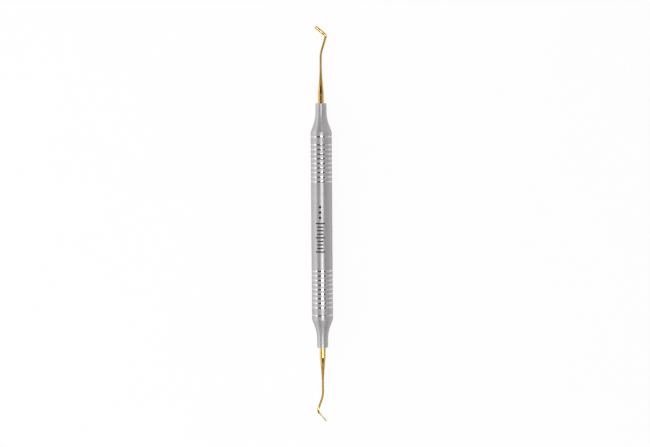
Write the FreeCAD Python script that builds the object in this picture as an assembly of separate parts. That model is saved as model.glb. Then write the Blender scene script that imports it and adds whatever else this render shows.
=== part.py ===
import FreeCAD, Part
import math
import os

# Double-ended dental hand instrument, in millimetres.
# The handle's axis is X and its middle is the origin. Z is up. The condenser is at +X and
# the blade at -X. Both tips bend in the XY plane, so the instrument is its own mirror image
# in that plane.

# Handle
handle_length = 111.0  # from the mouth of one end cone to the mouth of the other
handle_diameter = 9.5
tube_wall = 0.5

# Turned grooves: two groups, and one lone groove over each seam between tube and cone
groove_width = 0.62
groove_floor_width = 0.54
groove_depth = 0.12
groove_floor_sag = 0.01  # how much deeper a groove's floor is in its middle than at its walls
groove_pitch = 2.07
grooves_in_group = 9
seam_groove_step = 3.63  # from a group's outermost groove to the seam groove

# End cones
cone_length = 13.05  # from the mouth to the shoulder
rim_length = 2.06  # from the shoulder to the seam
neck_diameter = 4.93
neck_straight = 3.8
neck_chamfer = 0.35
cone_half_angle = 21.0
longest_easing = 0.8  # of the flank's length, for the curve between neck and flank
spigot_length = 5.0
spigot_wall = 0.9
cavity_overrun = 0.4  # how far the spigot's cavity runs on past the shoulder
drill_half_angle = 59.0
web = 1.45  # metal left between the cavity's point and the bore for the tang
bond_gap = 0.02  # radial room for the bond at a spigot or a tang

# Either tip: a round bar that tapers in two steps, leans aside and turns back at the corner
bar_diameter = 2.7
tang_end_gap = 0.2  # between the end of the tang and the bottom of its bore
bar_straight = 4.8  # reaches are measured from the mouth of the tip's cone
waist_reach = 9.7
waist_diameter = 1.48
shank_reach = 14.8
shank_diameter = 0.92
taper_easing = 1.2  # how far from each change of taper its rounding starts
bar_easing = 0.3
lean_radius = 11.0

# Condenser tip
condenser_lean = 16.8  # degrees from the handle's axis
condenser_corner_reach = 30.18
condenser_corner_offset = 2.51
condenser_angle = 50.9  # degrees between the handle's axis and the working end
condenser_length = 6.1
condenser_diameter = 1.4
condenser_corner_diameter = 1.2
condenser_corner_radius = 1.3
condenser_swell = 1.9  # length over which the shank swells before the corner
condenser_growth = 1.0  # length after the corner over which it reaches its full diameter
condenser_edge = 0.08

# Blade tip
blade_lean = 19.6
blade_corner_reach = 29.16
blade_corner_offset = 2.56
blade_angle = 40.6
blade_length = 6.35
blade_width = 1.7
blade_thickness = 0.5
blade_corner_radius = 2.0
blade_flattening = 2.2  # length over which the round shank becomes the flat blade
root_share = 0.98  # of the width that fits inside the shank, where the blade begins

# Derived sizes
handle_radius = handle_diameter / 2
mouth_x = handle_length / 2
shoulder_x = mouth_x - cone_length
seam_x = shoulder_x - rim_length
outer_groove_x = seam_x - seam_groove_step
groove_half = groove_width / 2
groove_floor_half = groove_floor_width / 2
groove_floor = handle_radius - groove_depth
floor_arc = (groove_floor_sag**2 + groove_floor_half**2) / (2 * groove_floor_sag)
neck_radius = neck_diameter / 2
bore_radius = handle_radius - tube_wall
spigot_radius = bore_radius - bond_gap
spigot_x = seam_x - spigot_length
cavity_radius = spigot_radius - spigot_wall
cavity_x = shoulder_x + cavity_overrun
cavity_tip_x = cavity_x + cavity_radius / math.tan(math.radians(drill_half_angle))
tang_bore_x = cavity_tip_x + web
tang_x = tang_bore_x + tang_end_gap
bar_radius = bar_diameter / 2
tang_bore_radius = bar_radius + bond_gap
waist_radius = waist_diameter / 2
shank_radius = shank_diameter / 2

FULL_TURN = 360
HALF_TURN = 180
SAME_POINT = 1e-6
ORIGIN = FreeCAD.Vector(0, 0, 0)
X_AXIS = FreeCAD.Vector(1, 0, 0)
Z_AXIS = FreeCAD.Vector(0, 0, 1)


def point(x, y, z=0.0):
    return FreeCAD.Vector(x, y, z)


def outline(corners):
    """A closed wire of straight edges and arcs. A corner is a point, or (middle, end) of an arc."""
    edges = []
    last = corners[0]
    for corner in corners[1:]:
        if isinstance(corner, tuple):
            middle, end = corner
            edges.append(Part.Arc(last, middle, end).toShape())
        else:
            end = corner
            edges.append(Part.makeLine(last, end))
        last = end
    if not last.isEqual(corners[0], SAME_POINT):
        edges.append(Part.makeLine(last, corners[0]))
    return Part.Wire(edges)


def turned(corners):
    """A solid turned about the X axis from an outline in the upper half of the XY plane."""
    return Part.Face(outline(corners)).revolve(ORIGIN, X_AXIS, FULL_TURN)


def facing(shape, side):
    """A shape made for the +X end, turned about Z to the end that side (1 or -1) names."""
    if side > 0:
        return shape
    return shape.rotated(ORIGIN, Z_AXIS, HALF_TURN)


def eased(before, corner, after, easing):
    """A corner rounded by an arc that starts and ends this far from it, as outline corners."""
    back = (before - corner).normalize()
    onward = (after - corner).normalize()
    half_angle = back.getAngle(onward) / 2
    to_arc = easing / math.cos(half_angle) - easing * math.tan(half_angle)
    middle = corner + (back + onward).normalize() * to_arc
    return [corner + back * easing, (middle, corner + onward * easing)]


def floor_point(x, offset):
    """The point of a groove's floor that lies this far along the handle from its middle at x."""
    return point(x + offset, groove_floor + floor_arc - math.sqrt(floor_arc**2 - offset**2))


def groove_floor_part(x, start, end):
    """The slightly hollow floor of the groove centred on x, from one offset to another."""
    return [floor_point(x, start), (floor_point(x, (start + end) / 2), floor_point(x, end))]


def handle_tube():
    """A thin-walled tube, plain in the middle and grooved towards both ends."""
    group = [outer_groove_x - number * groove_pitch for number in range(grooves_in_group)]
    corners = [point(-seam_x, bore_radius)]
    corners += groove_floor_part(-seam_x, 0, groove_floor_half)
    corners += [point(-seam_x + groove_half, handle_radius)]
    for x in sorted([-place for place in group] + group):
        corners += [point(x - groove_half, handle_radius)]
        corners += groove_floor_part(x, -groove_floor_half, groove_floor_half)
        corners += [point(x + groove_half, handle_radius)]
    corners += [point(seam_x - groove_half, handle_radius)]
    corners += groove_floor_part(seam_x, -groove_floor_half, 0)
    corners += [point(seam_x, bore_radius)]
    return turned(corners)


def end_cone(side):
    """A turned end piece: neck, flare and rim outside, spigot and drilled cavity inside."""
    flank = (handle_radius - neck_radius) / math.tan(math.radians(cone_half_angle))
    neck = point(mouth_x - neck_chamfer, neck_radius)
    flare = point(shoulder_x + flank, neck_radius)
    shoulder = point(shoulder_x, handle_radius)
    corners = [
        point(cavity_tip_x, 0),
        point(tang_bore_x, 0),
        point(tang_bore_x, tang_bore_radius),
        point(mouth_x, tang_bore_radius),
        point(mouth_x, neck_radius - neck_chamfer),
        neck,
    ]
    easing = min(mouth_x - neck_straight - flare.x, longest_easing * (shoulder - flare).Length)
    corners += eased(neck, flare, shoulder, easing)
    corners += [shoulder, point(seam_x + groove_half, handle_radius)]
    corners += groove_floor_part(seam_x, groove_floor_half, 0)
    corners += [
        point(seam_x, spigot_radius),
        point(spigot_x, spigot_radius),
        point(spigot_x, cavity_radius),
        point(cavity_x, cavity_radius),
    ]
    return facing(turned(corners), side)


def tapered_bar(end_x):
    """The tang, the straight bar and its two tapers, turned on the axis as far as end_x."""
    tang = point(tang_x, bar_radius)
    bar = point(mouth_x + bar_straight, bar_radius)
    waist = point(mouth_x + waist_reach, waist_radius)
    shank = point(mouth_x + shank_reach, shank_radius)
    end = point(end_x, shank_radius)
    corners = [point(tang.x, 0), tang]
    corners += eased(tang, bar, waist, bar_easing)
    corners += eased(bar, waist, shank, taper_easing)
    corners += eased(waist, shank, end, taper_easing)
    corners += [end, point(end_x, 0)]
    return turned(corners)


def direction(heading):
    """The unit vector in the XY plane that lies this many degrees to the left of +X."""
    angle = math.radians(heading)
    return point(math.cos(angle), math.sin(angle))


def arc_tangent(radius, turn):
    """How far before a corner an arc starts that rounds it."""
    return radius * math.tan(math.radians(turn) / 2)


def bend(start, heading, radius, turn, rod_radius):
    """A round rod bent by turn degrees, to the left if turn is positive.

    Returns the solid, the point where it ends and the heading there.
    """
    side = 1 if turn > 0 else -1
    centre = start + direction(heading + 90) * side * radius
    disc = Part.Face(Part.Wire(Part.makeCircle(rod_radius, start, direction(heading))))
    solid = disc.revolve(centre, Z_AXIS * side, abs(turn))
    end = centre - direction(heading + turn + 90) * side * radius
    return solid, end, heading + turn


def leaning_shank(lean, reach, offset, turn_back, corner_radius, swell, corner_diameter):
    """A tip as far as the end of its corner: its solids, and the end point and heading there.

    The bar runs along the axis, leans to -Y by lean degrees, and turns back by turn_back degrees
    in a corner whose middle lines meet at this reach from the mouth and this offset from the
    axis. Over the last swell millimetres before the corner it grows to corner_diameter.
    """
    lean_angle = math.radians(lean)
    lean_x = mouth_x + reach - offset / math.tan(lean_angle)
    lean_start = point(lean_x - lean_radius * math.tan(lean_angle / 2), 0)
    along = point(math.cos(lean_angle), -math.sin(lean_angle))
    corner = point(mouth_x + reach, -offset)
    corner_start = corner - along * arc_tangent(corner_radius, turn_back)
    first_bend, start, heading = bend(lean_start, 0, lean_radius, -lean, shank_radius)
    swell_start = corner_start - along * swell
    run = Part.makeCylinder(shank_radius, (swell_start - start).Length, start, along)
    solids = [tapered_bar(lean_start.x), first_bend, run]
    if swell > 0:
        solids.append(Part.makeCone(shank_radius, corner_diameter / 2, swell, swell_start, along))
    corner_bend, end, heading = bend(
        corner_start, heading, corner_radius, turn_back, corner_diameter / 2
    )
    return solids + [corner_bend], end, heading


def joined(solids):
    """One solid from pieces that meet end to end."""
    return solids[0].multiFuse(solids[1:]).removeSplitter().Solids[0]


def condenser_tip():
    """A bent bar with a round, flat-ended working end."""
    turn_back = condenser_lean + condenser_angle
    solids, start, heading = leaning_shank(
        condenser_lean,
        condenser_corner_reach,
        condenser_corner_offset,
        turn_back,
        condenser_corner_radius,
        condenser_swell,
        condenser_corner_diameter,
    )
    along = direction(heading)
    length = condenser_length - arc_tangent(condenser_corner_radius, turn_back)
    radius = condenser_diameter / 2
    edge = condenser_edge
    barrel_start = start + along * condenser_growth
    edge_start = start + along * (length - edge)
    barrel = (edge_start - barrel_start).Length
    solids += [
        Part.makeCone(condenser_corner_diameter / 2, radius, condenser_growth, start, along),
        Part.makeCylinder(radius, barrel, barrel_start, along),
        Part.makeCone(radius, radius - edge, edge, edge_start, along),
    ]
    return joined(solids)


def level_curve(start, end):
    """Two arcs in the XZ plane from start to end, level at both, as outline corners."""
    quarter = point((end.x - start.x) / 4, 0, (end.z - start.z) / 8)
    return [(start + quarter, (start + end) / 2), (end - quarter, end)]


def blade_plate(length):
    """The flat blade along +X from the origin, with its width along Z and its thickness along Y.

    Its root is narrow enough to lie inside the round shank, and its end is a half circle.
    """
    half = blade_width / 2
    root_half = math.sqrt(shank_radius**2 - (blade_thickness / 2) ** 2) * root_share
    root = point(0, 0, root_half)
    wide = point(blade_flattening, 0, half)
    round_start = point(length - half, 0, half)
    lower_wide = point(wide.x, 0, -half)
    lower_root = point(0, 0, -root_half)
    corners = [lower_root, root]
    corners += level_curve(root, wide)
    corners += [round_start, (point(length, 0, 0), point(length - half, 0, -half)), lower_wide]
    corners += level_curve(lower_wide, lower_root)
    plate = Part.Face(outline(corners)).extrude(point(0, blade_thickness))
    return plate.translated(point(0, -blade_thickness / 2))


def blade_tip():
    """A bent bar that ends in a thin flat blade, with its width square to the plane of the bends."""
    turn_back = blade_lean + blade_angle
    solids, start, heading = leaning_shank(
        blade_lean,
        blade_corner_reach,
        blade_corner_offset,
        turn_back,
        blade_corner_radius,
        0,
        shank_diameter,
    )
    length = blade_length - arc_tangent(blade_corner_radius, turn_back)
    plate = blade_plate(length).rotated(ORIGIN, Z_AXIS, heading).translated(start)
    root = Part.makeCone(
        shank_radius, blade_thickness / 2, blade_flattening, start, direction(heading)
    )
    return facing(joined(solids + [root, plate]), -1)


parts = {
    "handle_tube": handle_tube(),
    "condenser_end_cone": end_cone(1),
    "blade_end_cone": end_cone(-1),
    "condenser_tip": condenser_tip(),
    "blade_tip": blade_tip(),
}

os.makedirs("parts", exist_ok=True)
for name, shape in parts.items():
    shape.exportStep(f"parts/{name}.step")
    print(name, "valid" if shape.isValid() else "NOT VALID", round(shape.Volume, 2), "mm3")
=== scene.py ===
import math

import bmesh
import bpy
from mathutils import Matrix, Vector


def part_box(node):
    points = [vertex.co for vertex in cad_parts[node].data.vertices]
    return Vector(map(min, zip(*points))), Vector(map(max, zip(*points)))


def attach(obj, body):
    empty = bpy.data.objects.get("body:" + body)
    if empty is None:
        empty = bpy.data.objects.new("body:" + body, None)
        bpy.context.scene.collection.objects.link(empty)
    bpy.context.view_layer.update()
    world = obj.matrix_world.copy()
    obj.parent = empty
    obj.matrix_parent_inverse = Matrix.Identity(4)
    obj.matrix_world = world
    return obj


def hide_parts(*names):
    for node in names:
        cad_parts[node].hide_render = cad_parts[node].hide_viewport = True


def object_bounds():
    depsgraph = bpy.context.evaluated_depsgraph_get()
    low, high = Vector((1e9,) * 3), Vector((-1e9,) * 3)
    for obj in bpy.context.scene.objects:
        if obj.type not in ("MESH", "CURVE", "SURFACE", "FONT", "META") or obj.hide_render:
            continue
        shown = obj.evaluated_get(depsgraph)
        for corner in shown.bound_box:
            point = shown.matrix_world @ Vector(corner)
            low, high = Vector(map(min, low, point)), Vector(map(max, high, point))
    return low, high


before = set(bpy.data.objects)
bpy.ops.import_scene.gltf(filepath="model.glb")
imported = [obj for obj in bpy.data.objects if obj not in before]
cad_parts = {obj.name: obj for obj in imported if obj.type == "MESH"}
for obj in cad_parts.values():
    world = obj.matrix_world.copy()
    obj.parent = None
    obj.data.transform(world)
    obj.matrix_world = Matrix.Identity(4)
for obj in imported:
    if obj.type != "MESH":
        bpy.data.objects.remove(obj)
cad_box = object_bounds()

# A double-ended dental hand instrument. Outlines are worked out in millimetres, with the
# handle's axis along X, and become metres when a mesh is made. The floor, the panels and the
# camera are in metres.
MM = 0.001


# ---------------------------------------------------------------------------------------
# Sizes: places come from the frame, and the turned details from the sizes of the design
# ---------------------------------------------------------------------------------------

def ends_mm(node):
    """The lowest and the highest X of a node."""
    low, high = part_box(node)
    return low.x / MM, high.x / MM


handle_radius = cad_box[1].y / MM
seam_x = ends_mm("handle_tube")[1]
spigot_x, mouth_x = ends_mm("condenser_end_cone")
tang_x = ends_mm("condenser_tip")[0]

# Inside the handle: walls, gaps and bores
tube_wall = 0.5
bond_gap = 0.02  # radial room for the bond at a spigot or a tang
spigot_wall = 0.9
rim_length = 2.06  # from the seam to the shoulder
cavity_overrun = 0.4  # how far a spigot's cavity runs on past the shoulder
tang_end_gap = 0.2  # between the end of a tang and the bottom of its bore
web = 1.45  # metal between the cavity's point and the bore for the tang
bar_radius = 1.35

bore_radius = handle_radius - tube_wall
spigot_radius = bore_radius - bond_gap
cavity_radius = spigot_radius - spigot_wall
shoulder_x = seam_x + rim_length
cavity_x = shoulder_x + cavity_overrun
tang_bore_x = tang_x - tang_end_gap
cavity_tip_x = tang_bore_x - web
tang_bore_radius = bar_radius + bond_gap

# Turned grooves: two groups, and a lone groove over each seam between tube and cone
groove_depth = 0.12
groove_floor_sag = 0.01  # how much deeper a floor is in its middle than at its walls
groove_half = 0.31
groove_floor_half = 0.27
groove_pitch = 2.07
grooves_in_group = 9
seam_groove_step = 3.63  # from a group's outermost groove to the seam groove
groove_floor = handle_radius - groove_depth
outer_groove_x = seam_x - seam_groove_step

# Necks of the end cones
neck_radius = 2.465
neck_straight = 3.8
cone_half_angle = math.radians(21)
neck_chamfer = 0.35

# Easings: how far from a corner its rounding starts
groove_lip_ease = 0.02
groove_floor_ease = 0.04
groove_middle_ease = 0.2
seam_ease = 0.04
shoulder_ease = 0.28
neck_end_ease = 0.13
mouth_bore_ease = 0.12
tang_ease = 0.2
bar_ease = 0.3
taper_ease = 1.2
swell_ease = 0.5
condenser_edge_ease = 0.07

# Either tip, with reaches measured from the mouth of its cone
bar_straight = 4.8
waist_reach = 9.7
waist_radius = 0.74
shank_reach = 14.8
shank_radius = 0.46
lean_radius = 11.0

condenser_lean = math.radians(16.8)
condenser_reach = 30.18
condenser_offset = 2.51
condenser_turn_back = condenser_lean + math.radians(50.9)
condenser_bend = 1.3
condenser_length = 6.1
condenser_radius = 0.7
condenser_corner_radius = 0.6
condenser_swell = 1.9  # length over which the shank swells before the corner
condenser_growth = 1.0  # length after the corner over which it reaches its full radius

blade_lean = math.radians(19.6)
blade_reach = 29.16
blade_offset = 2.56
blade_turn_back = blade_lean + math.radians(40.6)
blade_bend = 2.0
blade_length = 6.35
blade_half_width = 0.85
blade_half_thickness = 0.25
blade_flattening = 2.2  # length over which the round shank becomes the flat blade
blade_end_sharpness = 6  # how late the blade thins towards its rounded end

# Exponents of a tip's section, from an ellipse to nearly a rectangle
round_exponent = 2.0
blade_exponent = 5.0

# Fineness of the meshes
around_handle = 192
around_tip = 72
blade_end_rings = 28
arc_step = math.radians(6)
longest_chord = 0.25
support = 0.06  # how far from a corner a long straight run gets a point of its own
ring_spacing = 0.08
no_size = 1e-6

# Masks for the materials: the distances between which a mask changes
groove_polish = (0.93 * groove_half, 1.03 * groove_half)  # from a groove's middle
lip_wear = (0, 0.09)  # from a groove's lip
shoulder_wear = (0.05, 0.5)  # from a cone's shoulder
shoulder_wear_share = 0.4
mouth_wear = (0.3, 0.7)  # back from a cone's mouth
shank_start = (1, 5)  # on from the end of the straight bar
shank_end = (0.2, 1.4)  # back from the corner
# The condenser's end face, darkened as painted shade, within these distances
condenser_face = (0.08, 0.2)  # back from the condenser's end
# The condenser's worn working end, paled as a painted highlight, within these distances
condenser_wear_and_highlight = (0.25, 0.5)
# The blade's worn part, paled as a painted highlight, from these distances on
blade_wear_and_highlight = (-0.5, 1)  # on from the blade's root


# ---------------------------------------------------------------------------------------
# Outlines
# ---------------------------------------------------------------------------------------

def eased_corner(before, corner, after, ease):
    """Points of the arc that rounds a corner and starts and ends this far from it."""
    back = (before - corner).normalized()
    onward = (after - corner).normalized()
    half = back.angle(onward) / 2
    turn = math.pi - 2 * half
    radius = ease * math.tan(half)
    centre = corner + (back + onward).normalized() * (ease / math.cos(half))
    steps = math.ceil(max(turn / arc_step, turn * radius / longest_chord, 2))
    spoke = corner + back * ease - centre
    side = 1 if back.cross(onward) < 0 else -1
    points = []
    for step in range(steps + 1):
        angle = side * turn * step / steps
        turned = Vector((
            spoke.x * math.cos(angle) - spoke.y * math.sin(angle),
            spoke.x * math.sin(angle) + spoke.y * math.cos(angle),
        ))
        points.append(centre + turned)
    return points


def outline(corners, closed=False):
    """Points through corners (x, radius, easing), rounded, with support points by the corners."""
    places = [Vector(corner[:2]) for corner in corners]
    points = []
    for index, (corner, (_, _, ease)) in enumerate(zip(places, corners)):
        if ease:
            after = places[(index + 1) % len(places)]
            points += eased_corner(places[index - 1], corner, after, ease)
        else:
            points.append(corner)
    full = []
    onward = points[1:] + (points[:1] if closed else [])
    for start, end in zip(points, onward):
        full.append(start)
        run = end - start
        if run.length > longest_chord + 2 * support:
            full += [start + run.normalized() * support, end - run.normalized() * support]
    return full if closed else full + [points[-1]]


def groove_corners(x):
    """The lips, floor corners and floor middle of a groove centred on x, in order along X."""
    foot = groove_floor + groove_floor_sag
    return [
        (x - groove_half, handle_radius, groove_lip_ease),
        (x - groove_floor_half, foot, groove_floor_ease),
        (x, groove_floor, groove_middle_ease),
        (x + groove_floor_half, foot, groove_floor_ease),
        (x + groove_half, handle_radius, groove_lip_ease),
    ]


def groove_places():
    """The middles of the grooves in the two groups, in order along X."""
    group = [outer_groove_x - number * groove_pitch for number in range(grooves_in_group)]
    return [-x for x in group] + group[::-1]


def tube_outline():
    """The tube from seam to seam, with its bore. Each end holds half of a seam groove."""
    corners = [(-seam_x, groove_floor, seam_ease)] + groove_corners(-seam_x)[3:]
    for x in groove_places():
        corners += groove_corners(x)
    corners += groove_corners(seam_x)[:2] + [(seam_x, groove_floor, seam_ease)]
    corners += [(seam_x, bore_radius, 0), (-seam_x, bore_radius, 0)]
    return outline(corners, closed=True)


def cone_outline():
    """The cone at +X, from the point of its cavity round the outside to the end of its bore."""
    flank = (handle_radius - neck_radius) / math.tan(cone_half_angle)
    flare_x = shoulder_x + flank
    corners = [
        (cavity_tip_x, 0, 0),
        (cavity_x, cavity_radius, 0),
        (spigot_x, cavity_radius, 0),
        (spigot_x, spigot_radius, 0),
        (seam_x, spigot_radius, 0),
    ]
    corners += [(seam_x, groove_floor, seam_ease)] + groove_corners(seam_x)[3:]
    corners += [
        (shoulder_x, handle_radius, shoulder_ease),
        (flare_x, neck_radius, mouth_x - neck_straight - flare_x),
        (mouth_x - neck_chamfer, neck_radius, neck_end_ease),
        (mouth_x, neck_radius - neck_chamfer, neck_end_ease),
        (mouth_x, tang_bore_radius, mouth_bore_ease),
        (tang_bore_x, tang_bore_radius, 0),
        (tang_bore_x, 0, 0),
    ]
    return outline(corners)


# ---------------------------------------------------------------------------------------
# Meshes
# ---------------------------------------------------------------------------------------

def rising(distances, value):
    """0 before the first of two distances, 1 after the second, and smooth between them."""
    low, high = distances
    share = min(max((value - low) / (high - low), 0), 1)
    return share * share * (3 - 2 * share)


def falling(distances, value):
    """1 before the first of two distances, 0 after the second, and smooth between them."""
    return 1 - rising(distances, value)


def circle(radius, count):
    """Points of a circle, or its middle alone where it has no size."""
    if radius < no_size:
        return [(0, 0)]
    angles = [math.tau * step / count for step in range(count)]
    return [(radius * math.cos(angle), radius * math.sin(angle)) for angle in angles]


def skin(name, rings, masks, closed=False):
    """A mesh over rings of points in millimetres. A ring of one point is a pole.

    masks names values for the materials, each a list with one number for each ring.
    """
    made = bmesh.new()
    layers = {mask: made.verts.layers.float.new(mask) for mask in masks}
    loops = []
    for index, ring in enumerate(rings):
        loop = [made.verts.new(Vector(place) * MM) for place in ring]
        for mask, layer in layers.items():
            for vertex in loop:
                vertex[layer] = masks[mask][index]
        loops.append(loop)
    pairs = list(zip(loops, loops[1:]))
    if closed:
        pairs.append((loops[-1], loops[0]))
    for first, second in pairs:
        for index in range(max(len(first), len(second))):
            corners = [first[index % len(first)], first[(index + 1) % len(first)]]
            corners += [second[(index + 1) % len(second)], second[index % len(second)]]
            made.faces.new(list(dict.fromkeys(corners)))
    bmesh.ops.recalc_face_normals(made, faces=made.faces)
    for face in made.faces:
        face.smooth = True
    mesh = bpy.data.meshes.new(name)
    made.to_mesh(mesh)
    made.free()
    piece = bpy.data.objects.new(name, mesh)
    bpy.context.scene.collection.objects.link(piece)
    return piece


def handle_masks(points):
    """How far each point is inside a groove, and how near it is to a worn edge."""
    places = groove_places() + [-seam_x, seam_x]
    in_groove = []
    worn = []
    for point in points:
        offset = min(abs(point.x - x) for x in places)
        outside = point.y > bore_radius
        lip = falling(lip_wear, abs(offset - groove_half))
        shoulder = shoulder_wear_share * falling(shoulder_wear, abs(point.x - shoulder_x))
        mouth = falling(mouth_wear, mouth_x - point.x)
        in_groove.append(falling(groove_polish, offset) if outside else 0)
        worn.append(max(lip, shoulder, mouth) if outside or point.x > seam_x else 0)
    return {"in_groove": in_groove, "worn": worn}


def turned_piece(name, points, side, closed=False):
    """An outline turned about the X axis, at the +X end or, where side is -1, at the other."""
    rings = [
        [(side * point.x, y, z) for y, z in circle(point.y, around_handle)]
        for point in points
    ]
    return skin(name, rings, handle_masks(points), closed)


def tip_path(lean, reach, offset, turn_back, corner_bend, end_length):
    """A tip's middle line, as runs (length, turn in radians) that start at the tang."""
    lean_tangent = lean_radius * math.tan(lean / 2)
    corner_tangent = corner_bend * math.tan(turn_back / 2)
    lean_x = mouth_x + reach - offset / math.tan(lean)
    return [
        (lean_x - lean_tangent - tang_x, 0),
        (lean_radius * lean, -lean),
        (offset / math.sin(lean) - lean_tangent - corner_tangent, 0),
        (corner_bend * turn_back, turn_back),
        (end_length - corner_tangent, 0),
    ]


def placed(path, travel):
    """The point that lies this far along a path from the tang, and the heading there."""
    point = Vector((tang_x, 0))
    heading = 0
    for length, turn in path:
        part = min(travel, length)
        if turn:
            radius = length / turn
            turned = heading + turn * part / length
            point += radius * Vector((
                math.sin(turned) - math.sin(heading),
                math.cos(heading) - math.cos(turned),
            ))
            heading = turned
        else:
            point += part * Vector((math.cos(heading), math.sin(heading)))
        travel -= part
        if travel <= 0:
            break
    return point, heading


def stations(profile):
    """A profile's points (travel, radius), with more between them so that none are far apart."""
    spaced = []
    for start, end in zip(profile, profile[1:]):
        steps = max(1, math.ceil((end.x - start.x) / ring_spacing))
        spaced += [start.lerp(end, step / steps) for step in range(steps)]
    return spaced + [profile[-1]]


def section(path, travel, across, high, exponent, side):
    """A ring round the path. across is its half size in the plane of the bends, high along Z."""
    point, heading = placed(path, travel)
    if across < no_size:
        return [(side * point.x, side * point.y, 0)]
    normal = Vector((-math.sin(heading), math.cos(heading)))
    ring = []
    for cosine, sine in circle(1, around_tip):
        flat = math.copysign(abs(cosine) ** (2 / exponent), cosine)
        rise = math.copysign(abs(sine) ** (2 / exponent), sine)
        place = point + normal * (across * flat)
        ring.append((side * place.x, side * place.y, high * rise))
    return ring


def bar_corners():
    """The tang, the bar and its tapers, as (travel from the tang's end, radius, easing)."""
    mouth = mouth_x - tang_x
    return [
        (0, 0, 0),
        (0, bar_radius, tang_ease),
        (mouth + bar_straight, bar_radius, bar_ease),
        (mouth + waist_reach, waist_radius, taper_ease),
        (mouth + shank_reach, shank_radius, taper_ease),
    ]


def shank_mask(travels, corner):
    """How far each travel is within the thin shank, from the bar's taper to the corner."""
    start = mouth_x - tang_x + bar_straight
    return [
        rising(shank_start, travel - start) * rising(shank_end, corner - travel)
        for travel in travels
    ]


def condenser():
    """The tip with the round, flat-ended working end."""
    path = tip_path(
        condenser_lean, condenser_reach, condenser_offset,
        condenser_turn_back, condenser_bend, condenser_length,
    )
    lengths = [length for length, _ in path]
    corner = sum(lengths[:3])
    after_corner = sum(lengths[:4])
    end = sum(lengths)
    corners = bar_corners() + [
        (corner - condenser_swell, shank_radius, swell_ease),
        (corner, condenser_corner_radius, swell_ease),
        (after_corner + condenser_growth, condenser_radius, swell_ease),
        (end, condenser_radius, condenser_edge_ease),
        (end, 0, 0),
    ]
    rings = []
    travels = []
    for travel, radius in stations(outline(corners)):
        rings.append(section(path, travel, radius, radius, round_exponent, 1))
        travels.append(travel)
    masks = {
        # face: the end face, darkened as painted shade and dulled
        "face": [falling(condenser_face, end - travel) for travel in travels],
        # worn: wear on the working end, which the gold shows as a painted pale highlight
        "worn": [falling(condenser_wear_and_highlight, end - travel) for travel in travels],
        # shank: darkened as painted shade, and dull
        "shank": shank_mask(travels, corner),
    }
    return skin("condenser_gold_tip", rings, masks)


def blade():
    """The tip with the thin flat blade."""
    path = tip_path(
        blade_lean, blade_reach, blade_offset, blade_turn_back, blade_bend, blade_length,
    )
    lengths = [length for length, _ in path]
    corner = sum(lengths[:3])
    root = sum(lengths[:4])
    end = sum(lengths)
    rings = []
    travels = []
    for travel, radius in stations(outline(bar_corners() + [(root, shank_radius, 0)])):
        rings.append(section(path, travel, radius, radius, round_exponent, -1))
        travels.append(travel)
    round_start = end - blade_half_width
    steps = math.ceil((round_start - root) / ring_spacing)
    for step in range(1, steps + 1):
        travel = root + (round_start - root) * step / steps
        flat = rising((root, root + blade_flattening), travel)
        across = shank_radius + (blade_half_thickness - shank_radius) * flat
        high = shank_radius + (blade_half_width - shank_radius) * flat
        exponent = round_exponent + (blade_exponent - round_exponent) * flat
        rings.append(section(path, travel, across, high, exponent, -1))
        travels.append(travel)
    for step in range(1, blade_end_rings + 1):
        angle = math.pi / 2 * step / blade_end_rings
        travel = round_start + blade_half_width * math.sin(angle)
        thin = math.sqrt(max(0, 1 - math.sin(angle) ** blade_end_sharpness))
        high = blade_half_width * math.cos(angle)
        across = blade_half_thickness * thin if step < blade_end_rings else 0
        rings.append(section(path, travel, across, high, blade_exponent, -1))
        travels.append(travel)
    masks = {
        "face": [0] * len(travels),
        # worn: wear on the blade, which the gold shows as a painted pale highlight
        "worn": [rising(blade_wear_and_highlight, travel - root) for travel in travels],
        # shank: darkened as painted shade, and dull
        "shank": shank_mask(travels, corner),
    }
    return skin("blade_gold_tip", rings, masks)


# ---------------------------------------------------------------------------------------
# Materials
# ---------------------------------------------------------------------------------------

# The inputs (share, first, second) and the output of a Mix node, for each kind of value
mix_sockets = {"FLOAT": (0, 2, 3, 0), "RGBA": (0, 6, 7, 2)}


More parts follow.
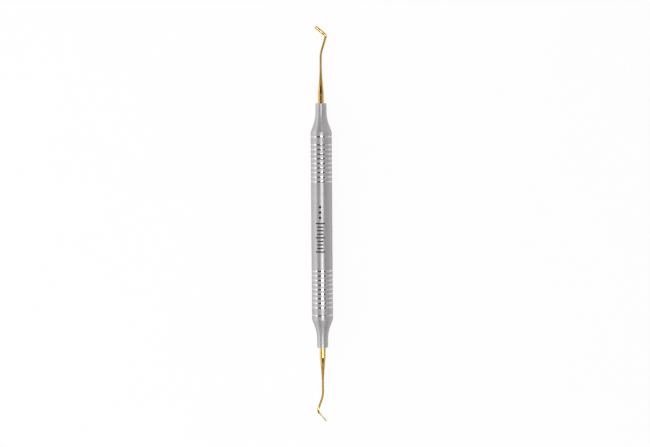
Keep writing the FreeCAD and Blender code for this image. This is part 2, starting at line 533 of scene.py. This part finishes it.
class Shader:
    """A material's node tree, with a short call for each kind of node it uses."""

    def __init__(self, name):
        self.material = bpy.data.materials.new(name)
        self.material.use_nodes = True
        self.nodes = self.material.node_tree.nodes
        self.links = self.material.node_tree.links
        self.nodes.clear()
        self.out = self.nodes.new("ShaderNodeOutputMaterial")

    def put(self, socket, value):
        """Link a socket to another one, or set it to a number or to red, green and blue."""
        if isinstance(value, bpy.types.NodeSocket):
            self.links.new(value, socket)
        elif isinstance(value, tuple):
            socket.default_value = (*value, 1)
        else:
            socket.default_value = value

    def math(self, operation, first, second=0.0):
        node = self.nodes.new("ShaderNodeMath")
        node.operation = operation
        self.put(node.inputs[0], first)
        self.put(node.inputs[1], second)
        return node.outputs[0]

    def span(self, value, source, target=(0.0, 1.0)):
        """value, brought smoothly from one range (low, high) to another."""
        node = self.nodes.new("ShaderNodeMapRange")
        node.interpolation_type = "SMOOTHSTEP"
        self.put(node.inputs["Value"], value)
        self.put(node.inputs["From Min"], source[0])
        self.put(node.inputs["From Max"], source[1])
        self.put(node.inputs["To Min"], target[0])
        self.put(node.inputs["To Max"], target[1])
        return node.outputs["Result"]

    def mask(self, name):
        node = self.nodes.new("ShaderNodeAttribute")
        node.attribute_name = name
        return node.outputs["Fac"]

    def place(self):
        return self.nodes.new("ShaderNodeTexCoord").outputs["Object"]

    def noise(self, features, detail=2.0, roughness=0.5):
        """Noise whose features have this size in millimetres along X, Y and Z."""
        mapping = self.nodes.new("ShaderNodeMapping")
        self.put(mapping.inputs["Vector"], self.place())
        mapping.inputs["Scale"].default_value = [1 / (size * MM) for size in features]
        node = self.nodes.new("ShaderNodeTexNoise")
        self.put(node.inputs["Scale"], 1.0)
        self.put(node.inputs["Detail"], detail)
        self.put(node.inputs["Roughness"], roughness)
        self.put(node.inputs["Vector"], mapping.outputs["Vector"])
        return node.outputs["Fac"]

    def mix(self, kind, share, first, second):
        """A number (FLOAT) or a colour (RGBA) that lies this share of the way to the second."""
        share_at, first_at, second_at, result_at = mix_sockets[kind]
        node = self.nodes.new("ShaderNodeMix")
        node.data_type = kind
        self.put(node.inputs[share_at], share)
        self.put(node.inputs[first_at], first)
        self.put(node.inputs[second_at], second)
        return node.outputs[result_at]

    def tint(self, share, first, second):
        return self.mix("RGBA", share, first, second)

    def blend(self, share, first, second):
        return self.mix("FLOAT", share, first, second)

    def bump(self, height, depth):
        """A bump whose height of 1 is this deep, in millimetres."""
        node = self.nodes.new("ShaderNodeBump")
        node.inputs["Distance"].default_value = depth * MM
        self.put(node.inputs["Height"], height)
        return node.outputs["Normal"]

    def principled(self):
        node = self.nodes.new("ShaderNodeBsdfPrincipled")
        self.links.new(node.outputs[0], self.out.inputs["Surface"])
        return node


# Ranges of a noise's values, which lie mostly between 0.3 and 0.7
wide = (0.25, 0.75)
usual = (0.3, 0.7)
narrow = (0.35, 0.65)
lower = (0.2, 0.5)
low_to_mid = (0.3, 0.6)
upper = (0.55, 0.75)
past_mid = (0.42, 0.62)

# The index scale on the handle, in millimetres: ticks, every fourth of them longer, then dots
mark_middle = 1.75  # round the handle from the top, towards +Y
mark_blur = 0.06
ticks_start = -11.4
tick_pitch = 1.6
tick_count = 9
tick_half = 0.3
short_reach = 1.45
long_tick_step = 4
long_count = 3
long_reach = 2.1
dots_start = 4.0
dot_pitch = 2.4
dot_count = 3
dot_radius = 0.6


def index_marks(shader):
    """A mask for the plain dark scale on the handle: short and long ticks, then three dots."""
    place = shader.nodes.new("ShaderNodeSeparateXYZ")
    shader.links.new(shader.place(), place.inputs[0])
    along = shader.math("DIVIDE", place.outputs["X"], MM)
    angle = shader.math("ARCTAN2", place.outputs["Y"], place.outputs["Z"])
    across = shader.math("SUBTRACT", shader.math("MULTIPLY", angle, handle_radius), mark_middle)
    off_middle = shader.math("ABSOLUTE", across)

    def within(value, limit):
        return shader.span(value, (limit - mark_blur, limit + mark_blur), (1.0, 0.0))

    def nearest(start, pitch):
        """How far along X a place is from the nearest mark of a row whose first is at start."""
        share = shader.math("SUBTRACT", along, start - pitch / 2)
        share = shader.math("FLOORED_MODULO", share, pitch)
        return shader.math("ABSOLUTE", shader.math("SUBTRACT", share, pitch / 2))

    def row(start, pitch, count):
        """A mask for the stretch that a row of this many marks takes up."""
        middle = start + pitch * (count - 1) / 2
        off = shader.math("ABSOLUTE", shader.math("SUBTRACT", along, middle))
        return within(off, pitch * count / 2)

    def ticks(pitch, count, reach):
        bars = within(nearest(ticks_start, pitch), tick_half)
        bars = shader.math("MULTIPLY", bars, within(off_middle, reach))
        return shader.math("MULTIPLY", bars, row(ticks_start, pitch, count))

    square = shader.math("ADD", shader.math("POWER", nearest(dots_start, dot_pitch), 2.0),
                         shader.math("POWER", off_middle, 2.0))
    dots = within(shader.math("SQRT", square), dot_radius)
    dots = shader.math("MULTIPLY", dots, row(dots_start, dot_pitch, dot_count))
    marks = shader.math("MAXIMUM", ticks(tick_pitch, tick_count, short_reach),
                        ticks(tick_pitch * long_tick_step, long_count, long_reach))
    return shader.math("MAXIMUM", marks, dots)


# Satin steel. Sizes of its features are in millimetres along X, Y and Z.
steel_line_size = (0.05, 6, 6)
steel_coarse_line_size = (0.35, 14, 14)
steel_grain_size = (0.3, 0.3, 0.3)
smudge_size = (14, 7, 7)
smudge_share = 0.5
steel_dark = (0.49, 0.475, 0.48)
steel_light = (0.54, 0.525, 0.53)
steel_grain_colour = (0.42, 0.41, 0.41)
steel_grain_share = 0.2
groove_colour = (0.8, 0.79, 0.79)
worn_steel_colour = (0.62, 0.61, 0.61)
wear_patches = (0.55, 1.0)
mark_density = (0.9, 1.0)
mark_colour = (0.04, 0.037, 0.036)
steel_roughness = (0.40, 0.46)
line_roughness = (-0.03, 0.03)
groove_roughness = 0.08
worn_steel_roughness = 0.28
mark_roughness = 0.5
steel_metallic = 0.72
steel_specular = 0.25
steel_specular_tint = (0.55, 0.54, 0.54)
steel_anisotropy = 0.5
steel_anisotropy_turn = 0.25  # of a full turn
steel_bump = 0.0009
steel_bump_grain = 0.2


def satin_steel(marked):
    """Turned stainless steel: fine lines round the axis, polished grooves, worn edges."""
    shader = Shader("satin_steel_marked" if marked else "satin_steel")
    lines = shader.noise(steel_line_size, detail=3.0, roughness=0.6)
    coarse_lines = shader.noise(steel_coarse_line_size)
    grain = shader.noise(steel_grain_size, detail=3.0, roughness=0.6)
    smudges = shader.noise(smudge_size, detail=3.0, roughness=0.55)
    in_groove = shader.mask("in_groove")
    patches = shader.span(grain, low_to_mid, wear_patches)
    worn = shader.math("MULTIPLY", shader.mask("worn"), patches)

    tone = shader.span(shader.blend(smudge_share, coarse_lines, smudges), narrow)
    colour = shader.tint(tone, steel_dark, steel_light)
    specks = shader.math("MULTIPLY", grain, steel_grain_share)
    colour = shader.tint(specks, colour, steel_grain_colour)
    colour = shader.tint(in_groove, colour, groove_colour)
    colour = shader.tint(worn, colour, worn_steel_colour)
    roughness = shader.math("ADD", shader.span(smudges, usual, steel_roughness),
                            shader.span(lines, wide, line_roughness))
    roughness = shader.blend(in_groove, roughness, groove_roughness)
    roughness = shader.blend(worn, roughness, worn_steel_roughness)
    if marked:
        density = shader.span(grain, lower, mark_density)
        mark = shader.math("MULTIPLY", index_marks(shader), density)
        colour = shader.tint(mark, colour, mark_colour)
        roughness = shader.blend(mark, roughness, mark_roughness)

    node = shader.principled()
    shader.put(node.inputs["Base Color"], colour)
    shader.put(node.inputs["Roughness"], roughness)
    shader.put(node.inputs["Metallic"], shader.blend(in_groove, steel_metallic, 1.0))
    shader.put(node.inputs["Specular IOR Level"], steel_specular)
    shader.put(node.inputs["Specular Tint"], steel_specular_tint)
    shader.put(node.inputs["Anisotropic"], steel_anisotropy)
    shader.put(node.inputs["Anisotropic Rotation"], steel_anisotropy_turn)
    tangent = shader.nodes.new("ShaderNodeTangent")
    tangent.direction_type = "RADIAL"
    tangent.axis = "X"
    shader.put(node.inputs["Tangent"], tangent.outputs[0])
    height = shader.blend(steel_bump_grain, lines, grain)
    shader.put(node.inputs["Normal"], shader.bump(height, steel_bump))
    return shader.material


# Gold-coloured coating. Sizes of its features are in millimetres along X, Y and Z.
gold_line_size = (2.5, 0.06, 0.06)
gold_grain_size = (0.12, 0.12, 0.12)
cloud_size = (3.5, 1.6, 1.6)
gold_dark = (0.78, 0.49, 0.14)
gold_light = (0.84, 0.57, 0.20)
gold_line_colour = (0.76, 0.43, 0.09)
gold_line_share = 0.3
# Darker, browner colour of the thin shanks: painted shade; their dull finish is the roughness
shank_painted_shade_colour = (0.57, 0.335, 0.05)
# Pale colour for the worn working ends: a painted highlight; their wear shows in the roughness
rubbed_highlight_colour = (0.9, 0.78, 0.5)
rubbed_highlight_share = 0.6
# Dark colour of the condenser's end face: painted shade
face_painted_shade_colour = (0.28, 0.21, 0.12)
gold_roughness = (0.13, 0.17)
grain_roughness = (-0.02, 0.03)
shank_roughness = 0.46
rubbed_roughness = 0.42
gold_specular_tint = (0.95, 0.86, 0.62)
gold_bump = 0.0002
gold_bump_grain = 0.3


def gold_coating():
    """Polished titanium nitride: warm gold, drawn lines, a dull shank darkened as painted shade, a
    worn working end paled as a painted highlight, and the condenser's end face darkened as painted
    shade.
    """
    shader = Shader("gold_coating")
    lines = shader.noise(gold_line_size, detail=3.0, roughness=0.6)
    grain = shader.noise(gold_grain_size, detail=3.0, roughness=0.6)
    clouds = shader.noise(cloud_size, detail=3.0, roughness=0.55)
    face = shader.mask("face")
    shank = shader.mask("shank")
    # The worn working ends: rougher from wear, and paled in colour as a painted highlight
    rubbed_and_highlight = shader.math("MULTIPLY", shader.mask("worn"), shader.span(grain, past_mid))

    colour = shader.tint(shader.span(clouds, usual), gold_dark, gold_light)
    drawn = shader.span(lines, upper, (0.0, gold_line_share))
    colour = shader.tint(drawn, colour, gold_line_colour)
    # Painted shade: the shanks are darkened
    colour = shader.tint(shank, colour, shank_painted_shade_colour)
    # Painted highlight: the worn working ends are paled
    colour = shader.tint(shader.math("MULTIPLY", rubbed_and_highlight, rubbed_highlight_share), colour, rubbed_highlight_colour)
    # Painted shade: the condenser's end face is darkened
    colour = shader.tint(face, colour, face_painted_shade_colour)
    roughness = shader.math("ADD", shader.span(clouds, usual, gold_roughness),
                            shader.span(grain, usual, grain_roughness))
    roughness = shader.blend(shank, roughness, shank_roughness)
    dulled = shader.math("MAXIMUM", face, rubbed_and_highlight)
    roughness = shader.blend(dulled, roughness, rubbed_roughness)

    node = shader.principled()
    shader.put(node.inputs["Base Color"], colour)
    shader.put(node.inputs["Roughness"], roughness)
    shader.put(node.inputs["Metallic"], 1.0)
    shader.put(node.inputs["Specular Tint"], gold_specular_tint)
    height = shader.blend(gold_bump_grain, lines, grain)
    shader.put(node.inputs["Normal"], shader.bump(height, gold_bump))
    return shader.material


# White paper
paper_dark = (0.86, 0.86, 0.86)
paper_light = (0.88, 0.88, 0.88)
paper_cloud_size = (40, 40, 40)
plain_share_seen = 0.92
plain_share_mirrored = 0.55
white = (1, 1, 1)


def white_paper():
    """Paper that is partly lit by the lamps, so that it keeps the shadow, and partly plain white."""
    shader = Shader("white_paper")
    clouds = shader.span(shader.noise(paper_cloud_size), usual)
    paper = shader.nodes.new("ShaderNodeBsdfDiffuse")
    shader.put(paper.inputs["Color"], shader.tint(clouds, paper_dark, paper_light))
    plain = shader.nodes.new("ShaderNodeEmission")
    shader.put(plain.inputs["Color"], white)
    shader.put(plain.inputs["Strength"], 1.0)
    rays = shader.nodes.new("ShaderNodeLightPath").outputs
    bounced = shader.math("MAXIMUM", rays["Is Glossy Ray"], rays["Is Transmission Ray"])
    seen = shader.math("MULTIPLY", rays["Is Camera Ray"], plain_share_seen)
    mirrored = shader.math("MULTIPLY", bounced, plain_share_mirrored)
    mixed = shader.nodes.new("ShaderNodeMixShader")
    shader.put(mixed.inputs[0], shader.math("MAXIMUM", seen, mirrored))
    shader.put(mixed.inputs[1], paper.outputs[0])
    shader.put(mixed.inputs[2], plain.outputs[0])
    shader.put(shader.out.inputs["Surface"], mixed.outputs[0])
    return shader.material


# ---------------------------------------------------------------------------------------
# The object
# ---------------------------------------------------------------------------------------

def dress(piece, material, node):
    """Give a piece its material, and say what it rides on and replaces."""
    piece.data.materials.append(material)
    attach(piece, "root")
    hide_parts(node)


plain_steel = satin_steel(marked=False)
gold = gold_coating()
dress(
    turned_piece("grooved_handle_tube", tube_outline(), 1, closed=True),
    satin_steel(marked=True), "handle_tube",
)
dress(
    turned_piece("condenser_end_collar", cone_outline(), 1),
    plain_steel, "condenser_end_cone",
)
dress(
    turned_piece("blade_end_collar", cone_outline(), -1),
    plain_steel, "blade_end_cone",
)
dress(condenser(), gold, "condenser_tip")
dress(blade(), gold, "blade_tip")


# ---------------------------------------------------------------------------------------
# Floor, light and camera, in metres
# ---------------------------------------------------------------------------------------

floor_radius = 2.6
rim_radius = 0.4
rim_steps = 12
wall_height = 0.3
around_floor = 96

room_strength = 0.06

lens = 88.3  # millimetres, as is the sensor
sensor_width = 36.0
nearest_seen = 0.01
farthest_seen = 20.0
camera_x = 0.052
camera_distance = 0.72
camera_tilt = math.radians(12)
camera_roll = math.radians(0.41)
target = Vector((0.0011, -0.00148, 0))


def backdrop():
    """A round floor under the handle, with a low curved-up rim."""
    profile = [(0, 0), (floor_radius, 0)]
    for step in range(1, rim_steps + 1):
        angle = math.pi / 2 * step / rim_steps
        profile.append((floor_radius + rim_radius * math.sin(angle),
                        rim_radius * (1 - math.cos(angle))))
    profile.append((floor_radius + rim_radius, rim_radius + wall_height))
    rings = [
        [(x, y, rise / MM - handle_radius) for x, y in circle(radius / MM, around_floor)]
        for radius, rise in profile
    ]
    floor = skin("backdrop", rings, {})
    floor.data.materials.append(white_paper())


def softbox(name, tilt, middle_x, width, length, radiance, distance=1.0, reflected=True):
    """A panel over the X axis. tilt is its angle from straight up, in degrees, towards -Y."""
    lamp = bpy.data.lights.new(name, "AREA")
    lamp.shape = "RECTANGLE"
    lamp.size = width
    lamp.size_y = length
    lamp.energy = radiance * math.pi * width * length
    holder = bpy.data.objects.new(name, lamp)
    angle = math.radians(tilt)
    away = Vector((0, -math.sin(angle), math.cos(angle)))
    along = Vector((1, 0, 0))
    turn = Matrix((along.cross(away), along, away)).transposed()
    place = Vector((middle_x, 0, 0)) + away * distance
    holder.matrix_world = Matrix.Translation(place) @ turn.to_4x4()
    holder.visible_camera = False
    holder.visible_glossy = reflected
    bpy.context.scene.collection.objects.link(holder)


def room():
    """Weak white light from all sides."""
    world = bpy.data.worlds.new("studio")
    world.use_nodes = True
    background = world.node_tree.nodes["Background"]
    background.inputs["Color"].default_value = (*white, 1)
    background.inputs["Strength"].default_value = room_strength
    bpy.context.scene.world = world


def camera():
    """The photographer's place: over the handle, a little to +Y, with +X up in the picture."""
    view = bpy.data.cameras.new("camera")
    view.sensor_fit = "HORIZONTAL"
    view.sensor_width = sensor_width
    view.lens = lens
    view.clip_start = nearest_seen
    view.clip_end = farthest_seen
    place = Vector((
        camera_x,
        target.y + camera_distance * math.sin(camera_tilt),
        camera_distance * math.cos(camera_tilt),
    ))
    up = Vector((math.cos(camera_roll), -math.sin(camera_roll), 0))
    away = (place - target).normalized()
    right = up.cross(away).normalized()
    turn = Matrix((right, away.cross(right), away)).transposed()
    holder = bpy.data.objects.new("camera", view)
    holder.matrix_world = Matrix.Translation(place) @ turn.to_4x4()
    bpy.context.scene.collection.objects.link(holder)
    bpy.context.scene.camera = holder


backdrop()
room()
softbox("over_camera", tilt=-8.5, middle_x=-0.142, width=0.4, length=0.186, radiance=12.9)
softbox("far_card", tilt=6, middle_x=-1.375, width=1.5, length=1.55, radiance=0.7)
softbox("near_card", tilt=25, middle_x=1.3, width=1.7, length=1.3, radiance=0.75)
softbox("left_side", tilt=-79, middle_x=0.05, width=0.44, length=1.2, radiance=1.05, distance=0.9)
softbox("right_side", tilt=55, middle_x=0.05, width=0.98, length=1.2, radiance=0.5)
softbox("fill", tilt=-45, middle_x=0, width=1.6, length=1.6, radiance=1.9, distance=1.3,
        reflected=False)
camera()
bpy.context.scene.view_settings.view_transform = "Standard"
